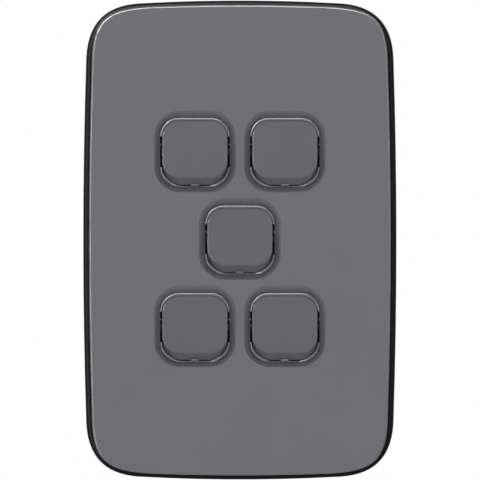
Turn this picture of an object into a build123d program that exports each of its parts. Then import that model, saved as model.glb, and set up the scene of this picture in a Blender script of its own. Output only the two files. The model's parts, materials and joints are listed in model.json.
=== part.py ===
from build123d import *
import os
from math import sqrt

# Rocker switch plate for a wall, five switches in a two, one, two pattern.
# Lengths in millimetres. The wall is the plane y = 0, the front looks along -Y, Z is up, X is right.
# A depth named "out" is measured from the wall towards the room, so it is -y.

# Plate outline, rim and cover
rim_width = 76.0
rim_height = 116.2
rim_side_bow = 0.71
rim_end_bow = 0.67
rim_corner = (43.9, 24.2)
rim_pull = (8.9, 8.3)
rim_out = 3.0
rim_round = 1.1

cover_width = 73.0
cover_height = 113.9
cover_side_bow = 0.75
cover_end_bow = 0.42
cover_corner = (44.0, 21.0)
cover_pull = (10.0, 10.4)
pull_loss = 0.7
cover_foot = 3.1
cover_front = 9.0
cover_wall = 1.5
cover_skin = 1.6
cover_edge_round = 0.45
crown_radius = 5000.0

# Base plate inside the cover
land_gap = 0.25
land_out = 5.6
web_thickness = 1.8
land_wall = 1.8
rib_thickness = 1.2
rib_reach = 27.0
fixing_spacing = 84.0
fixing_boss_radius = 4.6
fixing_hole_radius = 1.95
head_recess_radius = 3.9
head_recess_depth = 2.2

# Snap hooks of the cover and their notches in the base plate
hook_length = 6.0
hook_proud = 0.55
hook_out = 3.7
hook_height = 0.8
hook_play = 0.35
side_hook_rise = 24.0
end_hook_reach = 14.0

# Fixing screws
screw_radius = 1.75
screw_neck_radius = 1.5
screw_length = 25.0
screw_point = 0.9
screw_head_radius = 3.5
screw_head_height = 1.8
screw_head_round = 0.9
screw_slot = (1.0, 0.9)

# Switch pattern
pitch_across = 21.78
pitch_up = 21.2
pattern_rise = 0.13
places = {
    "top_left": (-pitch_across / 2, pattern_rise + pitch_up),
    "top_right": (pitch_across / 2, pattern_rise + pitch_up),
    "centre": (0, pattern_rise),
    "bottom_left": (-pitch_across / 2, pattern_rise - pitch_up),
    "bottom_right": (pitch_across / 2, pattern_rise - pitch_up),
}

# Dished recess round each rocker: sections from its edge, through its bend, to its floor,
# each as depth below the face, rise, width, height and corner radius
dish_edge = (0.0, 0.17, 19.9, 19.95, 6.3)
dish_bend = (0.9, 0.12, 18.2, 18.1, 5.4)
dish_floor = (2.0, 0.0, 17.0, 16.75, 4.5)

# Raised lip, slits and pip round each rocker
lip_width = 16.85
lip_height = 16.6
lip_corner = 4.45
lip_out = 7.95
lip_round = 0.33
boss_size = 20.6
boss_corner = 5.5
boss_out = 6.15
slit_reach = 8.45
slit_height = 7.4
slit_tick_rise = 1.85
slit_tick_height = 0.3
slit_tick_out = 7.0
pip_width = 2.0
pip_height = 0.26
pip_proud = 0.1

# Rocker: its ends are arcs about the pivot, so the gap at the lip stays even as it swings
pivot_out = 2.65
rocker_tilt = 8.0
rocker_width = 15.84
rocker_corner = 4.4
rocker_face = 5.75
rocker_base = 3.3
rocker_swing = 9.14
rocker_edge_round = 0.3
rocker_skin = 1.2
rocker_gap = 0.2
arc_sections = 4
opening_width = 16.14
opening_corner = 4.2
opening_overrun = 0.3
ear_height = 6.0
ear_radius = 1.6
trunnion_radius = 1.0
trunnion_end = 9.0
tube_radius = 2.6
tube_bore = 1.75
tube_end = -1.0

# Plunger and spring inside the rocker's tube
plunger_radius = 1.2
plunger_head_radius = 1.65
plunger_head = (-0.8, 1.0)
plunger_tip = -8.0
plunger_nose_round = 1.14
spring_radius = 1.35
spring_wire = 0.36
spring_turns = 5
spring_play = 0.05

# Contact blade, balanced on a knife edge
blade_tilt = 6.0
blade_play = 0.05
blade_thickness = 0.8
blade_length = 13.0
blade_width = 5.0
blade_waist = (3.4, 2.0)
rivet_radius = 1.2
rivet_height = 0.6
rivet_rise = 5.0

# Frame that clips into the base plate and carries the rocker
frame_width = 18.4
frame_height = 19.7
frame_corner = 1.2
frame_inner_width = 16.6
frame_inner_height = 18.3
frame_inner_corner = 4.6
frame_front = 5.9
frame_back = 3.6
cheek_thickness = 0.9
cheek_height = 9.0
cheek_end = 0.6
trunnion_play = 0.05
lug_proud = 0.5
lug_height = 4.0
aperture_play = 0.1

# Housing behind the base plate
housing_width = 20.0
housing_height = 20.2
housing_corner = 1.0
housing_back = -17.6
cavity_width = 18.6
cavity_height = 18.6
cavity_corner = 0.8
cavity_floor = -8.3

# Tunnel terminals, their contacts and clamp screws
terminal_pitch = 6.3
terminal_height = 5.0
terminal_left = -5.0
terminal_right = 2.5
terminal_front = -10.0
terminal_back = -17.0
terminal_play = 0.05
stem_width = 3.0
stem_height = 1.2
contact_height = 3.0
contact_thickness = 0.8
wire_radius = 1.5
wire_depth = 5.5
wire_mouth_radius = 1.8
clamp_out = -13.6
clamp_radius = 1.5
clamp_tip = -1.6
clamp_head_radius = 2.1
clamp_head_height = 1.5
clamp_head_play = 0.2
clamp_slot = (0.6, 0.7)


def front_plane(out, place=(0, 0)):
    """A plane facing the room, at a depth in front of the wall, centred on a place."""
    return Plane(origin=(place[0], -out, place[1]), x_dir=(1, 0, 0), z_dir=(0, -1, 0))


def tilted_plane(axis_out, tilt, out=0):
    """A front plane turned about a line along X at a depth, then moved out along its own normal."""
    return Plane(Location((0, -axis_out, 0), (90 + tilt, 0, 0))).offset(out)


def swing_height(radius, out):
    """Height, at a distance in front of the pivot, of an arc about the pivot's axis."""
    return 2 * sqrt(radius**2 - out**2)


def even_steps(start, end, count):
    """Values from start to end, evenly spaced."""
    return [start + (end - start) * step / (count - 1) for step in range(count)]


def plate_outline(width, height, side_bow, end_bow, corner, pull, inset=0):
    """Bowed sides and ends with soft corners, drawn in the open sketch, smaller all round by an inset."""
    side_run, end_run = corner
    side_pull, end_pull = (length - inset * pull_loss for length in pull)
    half_width = width / 2 - inset
    half_height = height / 2 - inset
    with BuildLine() as outline:
        side = TangentArc((half_width, 0), (half_width - side_bow, side_run), tangent=(0, 1))
        end = TangentArc((0, half_height), (end_run, half_height - end_bow), tangent=(1, 0))
        Bezier(side @ 1, side @ 1 + (side % 1) * side_pull, end @ 1 + (end % 1) * end_pull, end @ 1)
        mirror(about=Plane.XZ)
        mirror(about=Plane.YZ)
    make_face(outline.edges())


def rim_outline():
    plate_outline(rim_width, rim_height, rim_side_bow, rim_end_bow, rim_corner, rim_pull)


def cover_outline(inset=0):
    plate_outline(
        cover_width, cover_height, cover_side_bow, cover_end_bow, cover_corner, cover_pull, inset
    )


def hook_places(inset):
    """Centres and half turns of the snap hooks along the inside of the cover's wall."""
    side = cover_width / 2 - inset
    end = cover_height / 2 - inset
    side_hooks = [(s * side, t * side_hook_rise, 90) for s in (-1, 1) for t in (-1, 1)]
    end_hooks = [(s * end_hook_reach, t * end, 0) for s in (-1, 1) for t in (-1, 1)]
    return [Location((x, z, 0), (0, 0, turn)) for x, z, turn in side_hooks + end_hooks]


# Cover plate: a shallow tray with a slightly crowned face, clipped over the base plate
with BuildPart() as cover_plate:
    with BuildSketch(front_plane(cover_foot)):
        cover_outline()
    extrude(amount=cover_front - cover_foot)
    with Locations((0, crown_radius - cover_front, 0)):
        Sphere(crown_radius, mode=Mode.INTERSECT)
    fillet(cover_plate.faces().sort_by(Axis.Y)[0].edges(), radius=cover_edge_round)
    with BuildSketch(front_plane(cover_foot)):
        cover_outline(inset=cover_wall)
    extrude(amount=cover_front - cover_skin - cover_foot, mode=Mode.SUBTRACT)
    with BuildSketch(front_plane(boss_out)):
        with Locations(*places.values()):
            RectangleRounded(boss_size, boss_size, boss_corner)
    extrude(amount=cover_front - cover_skin - boss_out)

    # Dished recesses, each with a sloping wall down to the lip
    for place in places.values():
        for depth, rise, width, height, corner in (dish_floor, dish_bend, dish_edge):
            with BuildSketch(front_plane(cover_front - depth, place)):
                with Locations((0, rise)):
                    RectangleRounded(width, height, corner)
        loft(mode=Mode.SUBTRACT)

    # Raised lips with rounded fronts
    with BuildSketch(front_plane(boss_out)):
        with Locations(*places.values()):
            RectangleRounded(lip_width, lip_height, lip_corner)
    extrude(amount=lip_out - boss_out)
    fillet(cover_plate.edges().filter_by_position(Axis.Y, -lip_out, -lip_out), radius=lip_round)

    # Rocker openings, wider towards the back where the rocker swings
    for place in places.values():
        for out in even_steps(boss_out - opening_overrun, lip_out + opening_overrun, arc_sections):
            height = swing_height(rocker_swing + rocker_gap, out - pivot_out)
            with BuildSketch(front_plane(out, place)):
                RectangleRounded(opening_width, height, opening_corner)
        loft(mode=Mode.SUBTRACT)

    # Slits beside each rocker, crossed by a small tick, and a pip in the lower lip
    with BuildSketch(front_plane(boss_out)):
        with Locations(*places.values()):
            Rectangle(2 * slit_reach, slit_height)
    extrude(amount=cover_front - boss_out, mode=Mode.SUBTRACT)
    tick_width = slit_reach - opening_width / 2
    with BuildSketch(front_plane(boss_out)):
        for x, z in places.values():
            with Locations((x, z + slit_tick_rise)):
                with GridLocations(2 * slit_reach - tick_width, 0, 2, 1):
                    Rectangle(tick_width, slit_tick_height)
    extrude(amount=slit_tick_out - boss_out)
    with BuildSketch(front_plane(lip_out - lip_round)):
        for x, z in places.values():
            with Locations((x, z - lip_height / 2 + lip_round)):
                Rectangle(pip_width, pip_height)
    extrude(amount=lip_round + pip_proud)

    # Snap hooks inside the wall
    with BuildSketch(front_plane(hook_out)):
        with Locations(*hook_places(cover_wall)):
            Rectangle(hook_length, 2 * hook_proud)
    extrude(amount=hook_height)
cover_plate.part.label = "cover_plate"

# Base plate: a rounded black rim round a hollow land, with apertures for the mechanisms
with BuildPart() as base_plate:
    with BuildSketch(front_plane(0)):
        rim_outline()
    extrude(amount=rim_out)
    fillet(base_plate.faces().sort_by(Axis.Y)[0].edges(), radius=rim_round)
    with BuildSketch(front_plane(0)):
        cover_outline(inset=cover_wall + land_gap)
    extrude(amount=land_out)
    with BuildSketch(front_plane(0)):
        cover_outline(inset=cover_wall + land_gap + land_wall)
    extrude(amount=land_out - web_thickness, mode=Mode.SUBTRACT)

    # Stiffening ribs and screw bosses in the hollow
    with BuildSketch(front_plane(0)):
        with GridLocations(2 * rib_reach, 0, 2, 1):
            Rectangle(rib_thickness, fixing_spacing)
        with GridLocations(0, fixing_spacing, 1, 2):
            Rectangle(2 * rib_reach, rib_thickness)
            Circle(fixing_boss_radius)
    extrude(amount=land_out - web_thickness)
    with Locations(*[front_plane(land_out, (0, s * fixing_spacing / 2)) for s in (-1, 1)]):
        CounterBoreHole(fixing_hole_radius, head_recess_radius, head_recess_depth)

    # Apertures for the frames, and notches for the cover's hooks
    with BuildSketch(front_plane(land_out)):
        with Locations(*places.values()):
            RectangleRounded(
                frame_width + 2 * aperture_play, frame_height + 2 * aperture_play, frame_corner
            )
    extrude(amount=-web_thickness, mode=Mode.SUBTRACT)
    with BuildSketch(front_plane(hook_out - hook_play)):
        with Locations(*hook_places(cover_wall + land_gap)):
            Rectangle(hook_length + 2 * hook_play, 2 * hook_proud)
    extrude(amount=hook_height + 2 * hook_play, mode=Mode.SUBTRACT)
base_plate.part.label = "base_plate"

# Fixing screws through the base plate, with a thin neck where they pass it
with BuildPart() as fixing_screws:
    seat_out = land_out - head_recess_depth
    with BuildSketch(front_plane(seat_out)):
        with GridLocations(0, fixing_spacing, 1, 2):
            Circle(screw_head_radius)
    extrude(amount=screw_head_height)
    fillet(fixing_screws.faces().group_by(Axis.Y)[0].edges(), radius=screw_head_round)
    with BuildSketch(front_plane(0)):
        with GridLocations(0, fixing_spacing, 1, 2):
            Circle(screw_neck_radius)
    extrude(amount=seat_out)
    with BuildSketch(front_plane(0)):
        with GridLocations(0, fixing_spacing, 1, 2):
            Circle(screw_radius)
    extrude(amount=seat_out - screw_length)
    chamfer(fixing_screws.faces().group_by(Axis.Y)[-1].edges(), length=screw_point)
    with BuildSketch(front_plane(seat_out + screw_head_height)):
        with GridLocations(0, fixing_spacing, 1, 2):
            Rectangle(2 * screw_head_radius, screw_slot[0])
    extrude(amount=-screw_slot[1], mode=Mode.SUBTRACT)
fixing_screws.part.label = "fixing_screws"

# Rocker, with the top pressed in at rest
with BuildPart() as rocker:
    for out in even_steps(rocker_base, rocker_face, arc_sections):
        with BuildSketch(tilted_plane(pivot_out, -rocker_tilt, out)):
            RectangleRounded(rocker_width, swing_height(rocker_swing, out), rocker_corner)
    loft()
    fillet(rocker.faces().sort_by(Axis.Y)[0].edges(), radius=rocker_edge_round)
    with BuildSketch(tilted_plane(pivot_out, -rocker_tilt, rocker_base)):
        inner_height = swing_height(rocker_swing, rocker_face) - 2 * rocker_skin
        RectangleRounded(
            rocker_width - 2 * rocker_skin, inner_height, rocker_corner - rocker_skin
        )
    extrude(amount=rocker_face - rocker_skin - rocker_base, mode=Mode.SUBTRACT)

    # Ears down to the pivot, with a trunnion on each
    with BuildSketch(tilted_plane(pivot_out, -rocker_tilt, rocker_face - rocker_skin)):
        with GridLocations(rocker_width - rocker_skin, 0, 2, 1):
            Rectangle(rocker_skin, ear_height)
    extrude(amount=rocker_skin - rocker_face - ear_radius)
    with BuildSketch(Plane.YZ.offset(rocker_width / 2 - rocker_skin)):
        with Locations((-pivot_out, 0)):
            Circle(trunnion_radius)
    extrude(amount=trunnion_end - rocker_width / 2 + rocker_skin)
    with BuildSketch(Plane.YZ.offset(rocker_skin - rocker_width / 2)):
        with Locations((-pivot_out, 0)):
            Circle(trunnion_radius)
    extrude(amount=rocker_width / 2 - trunnion_end - rocker_skin)

    # Tube for the plunger and its spring
    with BuildSketch(tilted_plane(pivot_out, -rocker_tilt, rocker_face - rocker_skin)):
        Circle(tube_radius)
        Circle(tube_bore, mode=Mode.SUBTRACT)
    extrude(amount=rocker_skin - rocker_face + tube_end)
rocker.part.label = "rocker"

# Plunger with a round nose that presses the contact blade
with BuildPart() as plunger:
    with BuildSketch(tilted_plane(pivot_out, -rocker_tilt, plunger_head[0])):
        Circle(plunger_head_radius)
    extrude(amount=plunger_head[1] - plunger_head[0])
    with BuildSketch(tilted_plane(pivot_out, -rocker_tilt, plunger_tip)):
        Circle(plunger_radius)
    extrude(amount=plunger_head[0] - plunger_tip)
    fillet(plunger.faces().sort_by(Axis.Y)[-1].edges(), radius=plunger_nose_round)
plunger.part.label = "plunger"

# Spring behind the plunger
with BuildPart() as spring:
    spring_start = plunger_head[1] + spring_wire / 2 + spring_play
    spring_height = rocker_face - rocker_skin - spring_wire / 2 - spring_play - spring_start
    spring_plane = tilted_plane(pivot_out, -rocker_tilt, spring_start)
    with BuildLine():
        coil = Helix(
            spring_height / spring_turns,
            spring_height,
            spring_radius,
            center=spring_plane.origin,
            direction=spring_plane.z_dir,
        )
    with BuildSketch(Plane(origin=coil @ 0, z_dir=coil % 0)):
        Rectangle(spring_wire, spring_wire)
    sweep(is_frenet=True)
spring.part.label = "spring"

# Contact blade, held lower end back at rest, with a contact rivet at each end
edge_out = pivot_out + plunger_tip - blade_play - blade_thickness
with BuildPart() as contact_blade:
    with BuildSketch(tilted_plane(edge_out, blade_tilt)):
        Rectangle(blade_width, blade_length)
        with GridLocations(blade_width, 0, 2, 1):
            Rectangle(blade_width - blade_waist[0], blade_waist[1], mode=Mode.SUBTRACT)
    extrude(amount=blade_thickness)
    with BuildSketch(tilted_plane(edge_out, blade_tilt)):
        with GridLocations(0, 2 * rivet_rise, 1, 2):
            Circle(rivet_radius)
    extrude(amount=-rivet_height)
contact_blade.part.label = "contact_blade"

# Frame that clips into the base plate, with a cheek each side for the trunnions
with BuildPart() as frame:
    with BuildSketch(front_plane(frame_back)):
        RectangleRounded(frame_width, frame_height, frame_corner)
        RectangleRounded(
            frame_inner_width, frame_inner_height, frame_inner_corner, mode=Mode.SUBTRACT
        )
    extrude(amount=frame_front - frame_back)
    with BuildSketch(front_plane(frame_back)):
        with GridLocations(frame_inner_width + cheek_thickness, 0, 2, 1):
            Rectangle(cheek_thickness, cheek_height)
    extrude(amount=cheek_end - frame_back)
    with BuildSketch(Plane.YZ):
        with Locations((-pivot_out, 0)):
            Circle(trunnion_radius + trunnion_play)
    extrude(amount=frame_width, both=True, mode=Mode.SUBTRACT)
    with BuildSketch(front_plane(frame_front)):
        with GridLocations(frame_width, 0, 2, 1):
            Rectangle(2 * lug_proud, lug_height)
        Rectangle(frame_inner_width, lug_height, mode=Mode.SUBTRACT)
    extrude(amount=land_out + aperture_play / 2 - frame_front)
frame.part.label = "frame"

# Housing: an open box whose thick floor holds the terminals
terminal_rows = [-terminal_pitch, 0, terminal_pitch]
with BuildPart() as housing:
    with BuildSketch(front_plane(frame_back)):
        RectangleRounded(housing_width, housing_height, housing_corner)
    extrude(amount=housing_back - frame_back)
    with BuildSketch(front_plane(frame_back)):
        RectangleRounded(cavity_width, cavity_height, cavity_corner)
    extrude(amount=cavity_floor - frame_back, mode=Mode.SUBTRACT)
    pocket_left = -housing_width / 2
    pocket_right = terminal_right + terminal_play
    with BuildSketch(front_plane(terminal_front + terminal_play)):
        with Locations(*[((pocket_left + pocket_right) / 2, row) for row in terminal_rows]):
            Rectangle(pocket_right - pocket_left, terminal_height + 2 * terminal_play)
    extrude(amount=terminal_back - terminal_front - 2 * terminal_play, mode=Mode.SUBTRACT)
    with BuildSketch(front_plane(cavity_floor)):
        with GridLocations(0, terminal_pitch, 1, 3):
            Rectangle(stem_width + 2 * terminal_play, stem_height + 2 * terminal_play)
    extrude(amount=terminal_front - cavity_floor, mode=Mode.SUBTRACT)
    with BuildSketch(front_plane(housing_back)):
        with GridLocations(0, terminal_pitch, 1, 3):
            Circle(wire_mouth_radius)
    extrude(amount=terminal_back - housing_back, mode=Mode.SUBTRACT)
housing.part.label = "housing"

# Terminals: tunnel blocks with stems, two fixed contacts and the blade's knife edge between them
with BuildPart() as terminals:
    with BuildSketch(front_plane(terminal_front)):
        with Locations(*[((terminal_left + terminal_right) / 2, row) for row in terminal_rows]):
            Rectangle(terminal_right - terminal_left, terminal_height)
    extrude(amount=terminal_back - terminal_front)
    with BuildSketch(front_plane(cavity_floor)):
        with GridLocations(0, terminal_pitch, 1, 3):
            Rectangle(stem_width, stem_height)
    extrude(amount=terminal_front - cavity_floor)
    with BuildSketch(front_plane(cavity_floor)):
        with GridLocations(0, 2 * rivet_rise, 1, 2):
            Rectangle(stem_width, contact_height)
    extrude(amount=contact_thickness)
    with BuildSketch(Plane.YZ.offset(-stem_width / 2)):
        with BuildLine():
            Polyline(
                (-cavity_floor, -stem_height / 2),
                (-edge_out + blade_play / 2, 0),
                (-cavity_floor, stem_height / 2),
                close=True,
            )
        make_face()
    extrude(amount=stem_width)
    with BuildSketch(front_plane(terminal_back)):
        with GridLocations(0, terminal_pitch, 1, 3):
            Circle(wire_radius)
    extrude(amount=wire_depth, mode=Mode.SUBTRACT)
    with BuildSketch(Plane.YZ.offset(terminal_left)):
        with Locations(*[(-clamp_out, row) for row in terminal_rows]):
            Circle(clamp_radius)
    extrude(amount=-terminal_left, mode=Mode.SUBTRACT)
terminals.part.label = "terminals"

# Clamp screws of the terminals, backed off to leave the wire tunnels open
with BuildPart() as terminal_screws:
    head_start = terminal_left - clamp_head_play
    with BuildSketch(Plane.YZ.offset(head_start)):
        with Locations(*[(-clamp_out, row) for row in terminal_rows]):
            Circle(clamp_head_radius)
    extrude(amount=-clamp_head_height)
    with BuildSketch(Plane.YZ.offset(head_start)):
        with Locations(*[(-clamp_out, row) for row in terminal_rows]):
            Circle(clamp_radius - terminal_play)
    extrude(amount=clamp_tip - head_start)
    with BuildSketch(Plane.YZ.offset(head_start - clamp_head_height)):
        with Locations(*[(-clamp_out, row) for row in terminal_rows]):
            Rectangle(clamp_slot[0], 2 * clamp_head_radius)
    extrude(amount=clamp_slot[1], mode=Mode.SUBTRACT)
terminal_screws.part.label = "terminal_screws"

# Files: the plate's own pieces, then each mechanism's pieces at its place
os.makedirs("parts", exist_ok=True)
for piece in (cover_plate, base_plate, fixing_screws):
    export_step(piece.part, f"parts/{piece.part.label}.step")
mechanism = (rocker, plunger, spring, contact_blade, frame, housing, terminals, terminal_screws)
for name, (x, z) in places.items():
    for piece in mechanism:
        placed = piece.part.moved(Location((x, 0, z)))
        placed.label = f"{name}_{piece.part.label}"
        export_step(placed, f"parts/{placed.label}.step")
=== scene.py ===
import json
import math

import bmesh
import bpy
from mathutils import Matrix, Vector


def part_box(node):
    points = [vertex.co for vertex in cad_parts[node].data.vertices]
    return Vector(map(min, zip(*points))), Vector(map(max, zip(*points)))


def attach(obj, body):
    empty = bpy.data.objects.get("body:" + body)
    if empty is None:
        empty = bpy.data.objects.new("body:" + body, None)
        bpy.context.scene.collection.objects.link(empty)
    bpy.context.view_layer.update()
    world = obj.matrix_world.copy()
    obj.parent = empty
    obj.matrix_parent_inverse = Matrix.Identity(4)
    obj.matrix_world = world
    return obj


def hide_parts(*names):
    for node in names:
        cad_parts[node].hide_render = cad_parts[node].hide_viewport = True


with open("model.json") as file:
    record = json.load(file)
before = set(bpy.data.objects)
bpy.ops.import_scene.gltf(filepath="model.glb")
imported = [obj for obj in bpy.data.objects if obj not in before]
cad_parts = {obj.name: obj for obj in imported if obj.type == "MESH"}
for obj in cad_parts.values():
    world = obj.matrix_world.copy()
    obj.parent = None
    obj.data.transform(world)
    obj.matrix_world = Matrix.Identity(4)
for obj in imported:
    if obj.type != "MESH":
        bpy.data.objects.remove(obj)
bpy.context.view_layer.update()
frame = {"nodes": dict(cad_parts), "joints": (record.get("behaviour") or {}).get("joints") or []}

# Looks of a rocker switch plate. Lengths are in metres, in the CAD model's own frame: the wall is the
# plane y = 0, the plate faces -Y and +Z is up. "Out" is the distance in front of the wall.
MM = 0.001
WALL = 0.0

# Photograph: its size and scale, and where the plate's centre lies in it
PHOTO_PIXELS = 480
PIXEL = 0.24274 * MM
PLATE_CENTRE_PIXEL = (239.85, 240.05)

# Camera, far off so that the view is nearly parallel. The sensor and the lens are in millimetres.
CAMERA_DISTANCE = 3.0
CAMERA_CLIP = (0.1, 20.0)
SENSOR = 36.0

# Switches, by their places on the plate
PLACES = ("top_left", "top_right", "centre", "bottom_left", "bottom_right")

# Fixing screws: M3.5, with a domed head that has a slot and a short cross. The cutter for the slot is
# as long as its reach, in head radii.
HEAD_HEIGHT = 1.8 * MM
HEAD_ROUND = 0.9 * MM
HEAD_ROUND_STEPS = 6
NECK_RADIUS = 1.5 * MM
CORE_RADIUS = 1.38 * MM
POINT_LENGTH = 0.7 * MM
SLOT_WIDTH = 0.9 * MM
SLOT_DEPTH = 0.9 * MM
SLOT_REACH = 2.2
CROSS_REACH = 3.8 * MM
SCREW_SEGMENTS = 36

# Thread of the fixing screws: rings of points in each turn, and its flanks' shape over one pitch
THREAD_RADIUS = 1.75 * MM
THREAD_PITCH = 0.6 * MM
THREAD_ROWS = 8
THREAD_STEEPNESS = 1.6
THREAD_ROOT = 0.2
THREAD_FADE_OUT = 2 * THREAD_PITCH

# Lip round each rocker: it dips along its bottom, between the corners and the pip. The dip starts and
# ends at these distances beside the pivot, then ramps up. Rise is measured up from the pivot, and out
# gives the dip's floor and a place above the lip.
LIP_DIP_INNER = 0.9 * MM
LIP_DIP_OUTER = 3.4 * MM
LIP_DIP_RAMP = 3.2 * MM
LIP_DIP_RISE = (-8.36 * MM, -6.6 * MM)
LIP_DIP_OUT = (7.02 * MM, 8.15 * MM)

# Shading: points closer than the weld are one, edges that turn by more than the sharp turn are sharp,
# and the cover's front is what faces forwards this squarely, this far out
WELD = 0.0005 * MM
SHARP_TURN = math.radians(35)
FRONT_FACING = math.cos(math.radians(1.5))
FRONT_OUT = 8.4 * MM

# Base colours, in linear light
COVER_COLOUR = (0.125, 0.121, 0.147)
ROCKER_COLOUR = (0.106, 0.103, 0.124)
BLACK_COLOUR = (0.006, 0.006, 0.007)
HOUSING_COLOUR = (0.030, 0.030, 0.032)
NYLON_COLOUR = (0.62, 0.61, 0.56)
BRASS_COLOUR = (0.70, 0.52, 0.25)
BRONZE_COLOUR = (0.72, 0.46, 0.26)
STEEL_COLOUR = (0.40, 0.40, 0.41)
FLOOR_COLOUR = (0.80, 0.80, 0.79)
WHITE = (1.0, 1.0, 1.0, 1.0)

# Noise: nearly all of its values lie between these two
NOISE_RANGE = (0.3, 0.7)

# Moulded plastic: sizes of its grain, mottling, gloss patches and slow waves, with their strengths
GRAIN_SIZE = 0.28 * MM
GRAIN_DEPTH = 0.004 * MM
GRAIN_STRENGTH = 0.3
MOTTLE_SIZE = 14 * MM
MOTTLE_TONE = 0.015
PATCH_SIZE = 3 * MM
PATCH_ROUGHNESS = 0.012
WAVE_SIZE = 9 * MM
WAVE_DEPTH = 0.02 * MM
WAVE_STRENGTH = 0.25

# Worked metal: how the pattern of marks is scaled along X, Y and Z, how deep they are, and the tarnish
LONG_MARKS = (1.0, 1.0, 0.1)
FINE_MARKS = (1.0, 1.0, 12.0)
MARK_DEPTH = 0.004 * MM
MARK_STRENGTH = 0.6
MARK_ROUGHNESS = (-0.08, 0.1)
TARNISH_SIZE = 2.5 * MM
TARNISH_TONES = (0.85, 1.08)

# Studio: strength of the light from all round, and a floor well below the plate that is this far out
# to each side
AMBIENT = 0.12
FLOOR_HALF = 1.5
FLOOR_LEVEL = -0.40
FLOOR_GLOW = 0.45
FLOOR_ROUGHNESS = 0.9
FLOOR_MOTTLE_SIZE = 60 * MM
FLOOR_MOTTLE_TONES = (0.99, 1.01)


def new_material(name):
    """An empty node material, with its tree, principled shader and object coordinates."""
    material = bpy.data.materials.new(name)
    material.use_nodes = True
    tree = material.node_tree
    shader = tree.nodes["Principled BSDF"]
    coordinates = tree.nodes.new("ShaderNodeTexCoord")
    return material, tree, shader, coordinates.outputs["Object"]


def noise(tree, coordinates, size, detail=2.0):
    """Noise whose lumps are about size metres across."""
    node = tree.nodes.new("ShaderNodeTexNoise")
    node.inputs["Scale"].default_value = 1.0 / size
    node.inputs["Detail"].default_value = detail
    tree.links.new(coordinates, node.inputs["Vector"])
    return node.outputs["Fac"]


def spread(tree, value, low, high):
    """A value with the range of noise, stretched to run from low to high."""
    node = tree.nodes.new("ShaderNodeMapRange")
    node.inputs["From Min"].default_value, node.inputs["From Max"].default_value = NOISE_RANGE
    node.inputs["To Min"].default_value = low
    node.inputs["To Max"].default_value = high
    tree.links.new(value, node.inputs["Value"])
    return node.outputs["Result"]


def shade(colour, factor):
    """The colour made lighter or darker by a factor, with full alpha."""
    return tuple(channel * factor for channel in colour) + (1.0,)


def blend_colours(tree, factor, first, second):
    """A colour that runs from first to second as factor runs from 0 to 1."""
    node = tree.nodes.new("ShaderNodeMix")
    node.data_type = "RGBA"
    node.inputs["A"].default_value = first
    node.inputs["B"].default_value = second
    tree.links.new(factor, node.inputs["Factor"])
    return node.outputs["Result"]


def bump(tree, height, depth, strength, under=None):
    """A bump of that depth in metres, on top of another bump if one is given."""
    node = tree.nodes.new("ShaderNodeBump")
    node.inputs["Distance"].default_value = depth
    node.inputs["Strength"].default_value = strength
    tree.links.new(height, node.inputs["Height"])
    if under is not None:
        tree.links.new(under, node.inputs["Normal"])
    return node.outputs["Normal"]


def moulded_plastic(name, colour, roughness, specular=0.5):
    """Moulded plastic: a spark-eroded grain, faint mottling and an uneven satin finish."""
    material, tree, shader, coordinates = new_material(name)
    grain = noise(tree, coordinates, GRAIN_SIZE, detail=3.0)
    mottle = spread(tree, noise(tree, coordinates, MOTTLE_SIZE), 0.0, 1.0)
    tone = blend_colours(tree, mottle, shade(colour, 1 - MOTTLE_TONE), shade(colour, 1 + MOTTLE_TONE))
    tree.links.new(tone, shader.inputs["Base Color"])
    patches = noise(tree, coordinates, PATCH_SIZE, detail=4.0)
    gloss = spread(tree, patches, roughness - PATCH_ROUGHNESS, roughness + PATCH_ROUGHNESS)
    tree.links.new(gloss, shader.inputs["Roughness"])
    shader.inputs["Specular IOR Level"].default_value = specular
    waves = bump(tree, noise(tree, coordinates, WAVE_SIZE, detail=1.0), WAVE_DEPTH, WAVE_STRENGTH)
    surface = bump(tree, grain, GRAIN_DEPTH, GRAIN_STRENGTH, waves)
    tree.links.new(surface, shader.inputs["Normal"])
    return material


def worked_metal(name, colour, roughness, mark_size, scale=FINE_MARKS):
    """Metal with fine marks that run one way and a slightly uneven tone."""
    material, tree, shader, coordinates = new_material(name)
    mapping = tree.nodes.new("ShaderNodeMapping")
    mapping.inputs["Scale"].default_value = scale
    tree.links.new(coordinates, mapping.inputs["Vector"])
    marks = noise(tree, mapping.outputs["Vector"], mark_size, detail=4.0)
    tarnish = spread(tree, noise(tree, coordinates, TARNISH_SIZE, detail=3.0), 0.0, 1.0)
    dull, bright = [shade(colour, tone) for tone in TARNISH_TONES]
    tree.links.new(blend_colours(tree, tarnish, dull, bright), shader.inputs["Base Color"])
    smooth, rough = [roughness + change for change in MARK_ROUGHNESS]
    tree.links.new(spread(tree, marks, smooth, rough), shader.inputs["Roughness"])
    shader.inputs["Metallic"].default_value = 1.0
    tree.links.new(bump(tree, marks, MARK_DEPTH, MARK_STRENGTH), shader.inputs["Normal"])
    return material


def dress(node, material):
    """The node takes the material all over."""
    slots = frame["nodes"][node].data.materials
    slots.clear()
    slots.append(material)


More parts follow.
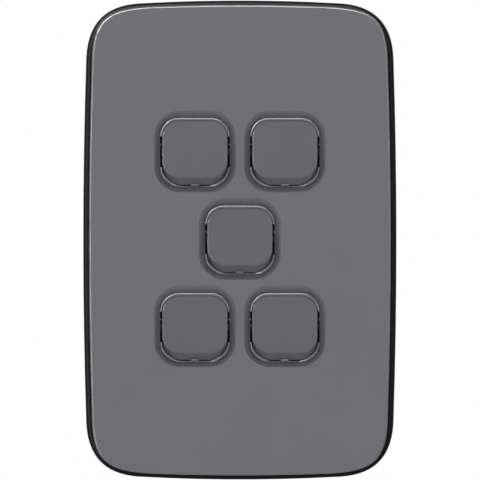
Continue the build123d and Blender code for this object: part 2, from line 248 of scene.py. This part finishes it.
def dress_nodes():
    """Every CAD node gets its finish, and the cover and the fixing screws their finer shapes."""
    cover = moulded_plastic("cover_plastic", COVER_COLOUR, roughness=0.24, specular=0.4)
    rocker = moulded_plastic("rocker_plastic", ROCKER_COLOUR, roughness=0.26, specular=0.2)
    black = moulded_plastic("black_plastic", BLACK_COLOUR, roughness=0.34, specular=0.05)
    housing = moulded_plastic("housing_plastic", HOUSING_COLOUR, roughness=0.38, specular=0.35)
    nylon = moulded_plastic("plunger_nylon", NYLON_COLOUR, roughness=0.30)
    brass = worked_metal("terminal_brass", BRASS_COLOUR, roughness=0.34, mark_size=0.3 * MM)
    bronze = worked_metal(
        "contact_bronze", BRONZE_COLOUR, roughness=0.30, mark_size=0.25 * MM, scale=LONG_MARKS
    )
    steel = worked_metal("zinc_plated_steel", STEEL_COLOUR, roughness=0.32, mark_size=0.2 * MM)
    wire = worked_metal("spring_wire", STEEL_COLOUR, roughness=0.25, mark_size=0.1 * MM)
    moulded_cover(cover)
    dress("base_plate", black)
    threaded_screws(steel)
    finishes = {
        "rocker": rocker,
        "plunger": nylon,
        "spring": wire,
        "contact_blade": bronze,
        "frame": black,
        "housing": housing,
        "terminals": brass,
        "terminal_screws": steel,
    }
    for place in PLACES:
        for piece, material in finishes.items():
            dress(f"{place}_{piece}", material)


def skin_rings(bm, rings):
    """Skins rings of points, each as long as the last, and caps both ends."""
    rows = [[bm.verts.new(point) for point in ring] for ring in rings]
    count = len(rows[0])
    for row, after in zip(rows, rows[1:]):
        for i in range(count):
            j = (i + 1) % count
            bm.faces.new((row[i], row[j], after[j], after[i]))
    bm.faces.new(list(reversed(rows[0])))
    bm.faces.new(rows[-1])


def object_of(name, bm):
    """An object in the scene made from the bmesh, which it frees."""
    bmesh.ops.recalc_face_normals(bm, faces=bm.faces)
    mesh = bpy.data.meshes.new(name)
    bm.to_mesh(mesh)
    bm.free()
    thing = bpy.data.objects.new(name, mesh)
    bpy.context.scene.collection.objects.link(thing)
    return thing


def welded_mesh_of(thing):
    """A bmesh of the thing's own mesh, with points in the same place made one."""
    bm = bmesh.new()
    bm.from_mesh(thing.data)
    bmesh.ops.remove_doubles(bm, verts=bm.verts, dist=WELD)
    return bm


def cut(thing, cutter):
    """Takes the cutter out of the thing, and removes the cutter."""
    taking = thing.modifiers.new("cut", "BOOLEAN")
    taking.operation = "DIFFERENCE"
    taking.solver = "EXACT"
    taking.use_self = True
    taking.object = cutter
    graph = bpy.context.evaluated_depsgraph_get()
    result = bpy.data.meshes.new_from_object(thing.evaluated_get(graph))
    thing.modifiers.clear()
    thing.data = result
    bpy.data.objects.remove(cutter)


def finish_mesh(thing, material):
    """One material all over, and smooth shading between the sharp edges."""
    thing.data.materials.clear()
    thing.data.materials.append(material)
    thing.data.shade_smooth()
    thing.data.set_sharp_from_angle(angle=SHARP_TURN)


def is_front(face):
    """Whether the face is part of the cover's gently crowned front."""
    return -face.normal.y > FRONT_FACING and -face.calc_center_median().y > FRONT_OUT


def sharpen_front_edge(thing):
    """The front ends in a sharp edge, however gently what joins it slopes."""
    bm = bmesh.new()
    bm.from_mesh(thing.data)
    front = {face for face in bm.faces if is_front(face)}
    for edge in bm.edges:
        if sum(face in front for face in edge.link_faces) == 1:
            edge.smooth = False
    bm.to_mesh(thing.data)
    bm.free()


def circle(centre, y, radius_at):
    """Points round a screw's axis, with the radius that belongs to each part of the turn, from 0 to 1."""
    points = []
    for step in range(SCREW_SEGMENTS):
        turn = step / SCREW_SEGMENTS
        angle = 2 * math.pi * turn
        radius = radius_at(turn)
        points.append((centre[0] + radius * math.cos(angle), y, centre[1] + radius * math.sin(angle)))
    return points


def plain_circle(centre, y, radius):
    """Points round a screw's axis, all as far from it."""
    return circle(centre, y, lambda turn: radius)


def thread_height(y, turn, end):
    """How high the thread stands over its core, from 0 to 1, fading in at the wall and out at its end."""
    phase = (y / THREAD_PITCH - turn) % 1.0
    peak = 1.0 - abs(2.0 * phase - 1.0)
    flank = min(1.0, max(0.0, THREAD_STEEPNESS * peak - THREAD_ROOT))
    fade = min(1.0, (y - WALL) / THREAD_PITCH, (end - y) / THREAD_FADE_OUT)
    return flank * max(0.0, fade)


def thread_circle(centre, y, core, end):
    """Points round a screw's axis, on its thread."""
    depth = THREAD_RADIUS - CORE_RADIUS
    return circle(centre, y, lambda turn: core + depth * thread_height(y, turn, end))


def screw_rings(centre, head_radius, top, tip):
    """Rings of points down a screw, whose head's top and whose tip are at those places along Y."""
    rings = []
    for step in range(HEAD_ROUND_STEPS + 1):
        bend = math.pi / 2 * step / HEAD_ROUND_STEPS
        y = top + HEAD_ROUND * (1 - math.cos(bend))
        rings.append(plain_circle(centre, y, head_radius - HEAD_ROUND * (1 - math.sin(bend))))
    seat = top + HEAD_HEIGHT
    rings.append(plain_circle(centre, seat, head_radius))
    rings.append(plain_circle(centre, seat, NECK_RADIUS))
    rings.append(plain_circle(centre, WALL, NECK_RADIUS))
    count = round(tip / THREAD_PITCH * THREAD_ROWS)
    for row in range(1, count):
        y = tip * row / count
        core = min(CORE_RADIUS, CORE_RADIUS - POINT_LENGTH + (tip - y))
        rings.append(thread_circle(centre, y, core, tip - POINT_LENGTH))
    rings.append(plain_circle(centre, tip, CORE_RADIUS - POINT_LENGTH))
    return rings


def add_groove(bm, centre, top, width, height):
    """A box that sinks a groove of that width and height into the top of a screw's head."""
    box = bmesh.ops.create_cube(bm, size=1.0)["verts"]
    bmesh.ops.scale(bm, vec=(width, 2 * SLOT_DEPTH, height), verts=box)
    bmesh.ops.translate(bm, vec=(centre[0], top, centre[1]), verts=box)


def threaded_screws(material):
    """The two fixing screws with their threads and slotted, domed heads."""
    low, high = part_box("fixing_screws")
    top, tip = low[1], high[1]
    head_radius = high[0]
    bodies = bmesh.new()
    grooves = bmesh.new()
    for side in (-1, 1):
        centre = (0.0, side * (high[2] - head_radius))
        skin_rings(bodies, screw_rings(centre, head_radius, top, tip))
        add_groove(grooves, centre, top, SLOT_REACH * head_radius, SLOT_WIDTH)
        add_groove(grooves, centre, top, SLOT_WIDTH, CROSS_REACH)
    screws = object_of("threaded_fixing_screws", bodies)
    cut(screws, object_of("slot_cutter", grooves))
    finish_mesh(screws, material)
    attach(screws, "plate")
    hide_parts("fixing_screws")


def add_lip_dip(bm, x, z, side):
    """A block that lowers one half of a lip's bottom, with a ramp at its end towards the corner."""
    floor, above = LIP_DIP_OUT
    outline = (
        (LIP_DIP_INNER, floor),
        (LIP_DIP_OUTER, floor),
        (LIP_DIP_OUTER + LIP_DIP_RAMP, above),
        (LIP_DIP_INNER, above),
    )
    lower, upper = [
        [bm.verts.new((x + side * across, -out, z + rise)) for across, out in outline]
        for rise in LIP_DIP_RISE
    ]
    bm.faces.new(lower)
    bm.faces.new(list(reversed(upper)))
    for i in range(len(outline)):
        j = (i + 1) % len(outline)
        bm.faces.new((lower[j], lower[i], upper[i], upper[j]))


def moulded_cover(material):
    """The cover, with the lip of each recess dipping either side of its pip."""
    pivots = {joint["child"]: joint["pos_m"] for joint in frame["joints"]}
    dips = bmesh.new()
    for place in PLACES:
        x, _, z = pivots[f"{place}_rocker"]
        for side in (-1, 1):
            add_lip_dip(dips, x, z, side)
    cover = object_of("moulded_cover", welded_mesh_of(frame["nodes"]["cover_plate"]))
    cut(cover, object_of("lip_dips", dips))
    finish_mesh(cover, material)
    sharpen_front_edge(cover)
    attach(cover, "plate")
    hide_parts("cover_plate")


def softbox(name, place, size, power, diffuse=True, gloss=True):
    """A rectangular lamp aimed at the plate's centre, for its diffuse light, its gloss or both."""
    lamp = bpy.data.lights.new(name, "AREA")
    lamp.shape = "RECTANGLE"
    lamp.size, lamp.size_y = size
    lamp.energy = power
    thing = bpy.data.objects.new(name, lamp)
    thing.location = place
    thing.rotation_mode = "QUATERNION"
    thing.rotation_quaternion = (-Vector(place)).to_track_quat("-Z", "Y")
    thing.visible_camera = False
    thing.visible_diffuse = diffuse
    thing.visible_glossy = gloss
    bpy.context.scene.collection.objects.link(thing)


def light_studio():
    """A large soft lamp lights the faces, strips draw the edges, and two lamps light the back."""
    softbox("front", place=(0.0, -1.2, 0.0), size=(1.1, 1.1), power=11.9, gloss=False)
    softbox("top_strip", place=(-0.15, -0.62, 0.62), size=(1.0, 0.40), power=32.0, diffuse=False)
    softbox("corner_strip", place=(-0.45, -0.62, 0.45), size=(0.4, 0.40), power=13.0, diffuse=False)
    softbox("left_strip", place=(-0.62, -0.62, 0.0), size=(0.30, 0.9), power=11.0, diffuse=False)
    softbox("right_strip", place=(0.62, -0.62, 0.20), size=(0.30, 0.5), power=3.0, diffuse=False)
    softbox("back_right", place=(0.7, 1.1, 0.8), size=(0.8, 0.8), power=11.0)
    softbox("back_left", place=(-0.9, 0.9, 0.4), size=(0.6, 0.6), power=5.0)


def seen_ray(tree):
    """One for a ray from the camera, or off gloss or through glass, and otherwise zero."""
    rays = tree.nodes.new("ShaderNodeLightPath")
    seen = rays.outputs["Is Camera Ray"]
    for kind in ("Is Glossy Ray", "Is Transmission Ray"):
        either = tree.nodes.new("ShaderNodeMath")
        either.operation = "MAXIMUM"
        tree.links.new(seen, either.inputs[0])
        tree.links.new(rays.outputs[kind], either.inputs[1])
        seen = either.outputs["Value"]
    return seen


def white_background(tree, strength):
    """A white background shader of that strength."""
    node = tree.nodes.new("ShaderNodeBackground")
    node.inputs["Color"].default_value = WHITE
    node.inputs["Strength"].default_value = strength
    return node.outputs["Background"]


def light_world():
    """Even pale light from all round, and plain white where the camera, gloss or glass sees it."""
    world = bpy.data.worlds.new("studio")
    bpy.context.scene.world = world
    world.use_nodes = True
    tree = world.node_tree
    tree.nodes.clear()
    output = tree.nodes.new("ShaderNodeOutputWorld")
    mix = tree.nodes.new("ShaderNodeMixShader")
    tree.links.new(seen_ray(tree), mix.inputs["Fac"])
    tree.links.new(white_background(tree, AMBIENT), mix.inputs[1])
    tree.links.new(white_background(tree, 1.0), mix.inputs[2])
    tree.links.new(mix.outputs["Shader"], output.inputs["Surface"])


def floor_card():
    """A pale, faintly mottled card that glows only where it is seen, so that it keeps shadows."""
    material, tree, shader, coordinates = new_material("floor_card")
    mottle = spread(tree, noise(tree, coordinates, FLOOR_MOTTLE_SIZE), 0.0, 1.0)
    dark, light = [shade(FLOOR_COLOUR, tone) for tone in FLOOR_MOTTLE_TONES]
    tree.links.new(blend_colours(tree, mottle, dark, light), shader.inputs["Base Color"])
    shader.inputs["Roughness"].default_value = FLOOR_ROUGHNESS
    shader.inputs["Emission Color"].default_value = WHITE
    glow = tree.nodes.new("ShaderNodeMath")
    glow.operation = "MULTIPLY"
    glow.inputs[1].default_value = FLOOR_GLOW
    tree.links.new(seen_ray(tree), glow.inputs[0])
    tree.links.new(glow.outputs["Value"], shader.inputs["Emission Strength"])
    return material


def lay_floor():
    """A plain pale floor some way below the plate, which hangs as on a wall."""
    sides = ((-1, -1), (1, -1), (1, 1), (-1, 1))
    corners = [(x * FLOOR_HALF, y * FLOOR_HALF, FLOOR_LEVEL) for x, y in sides]
    mesh = bpy.data.meshes.new("floor")
    mesh.from_pydata(corners, [], [range(len(corners))])
    mesh.materials.append(floor_card())
    floor = bpy.data.objects.new("floor", mesh)
    bpy.context.scene.collection.objects.link(floor)


def set_camera():
    """A long lens straight in front, framed as in the photograph."""
    lens = bpy.data.cameras.new("camera")
    lens.sensor_width = SENSOR
    lens.lens = SENSOR * CAMERA_DISTANCE / (PHOTO_PIXELS * PIXEL)
    lens.clip_start, lens.clip_end = CAMERA_CLIP
    camera = bpy.data.objects.new("camera", lens)
    across = (PHOTO_PIXELS / 2 - PLATE_CENTRE_PIXEL[0]) * PIXEL
    up = (PLATE_CENTRE_PIXEL[1] - PHOTO_PIXELS / 2) * PIXEL
    camera.location = (across, -CAMERA_DISTANCE, up)
    camera.rotation_euler = (math.pi / 2, 0, 0)
    bpy.context.scene.collection.objects.link(camera)
    bpy.context.scene.camera = camera


set_camera()
dress_nodes()
light_studio()
light_world()
lay_floor()
bpy.context.scene.view_settings.view_transform = "Standard"
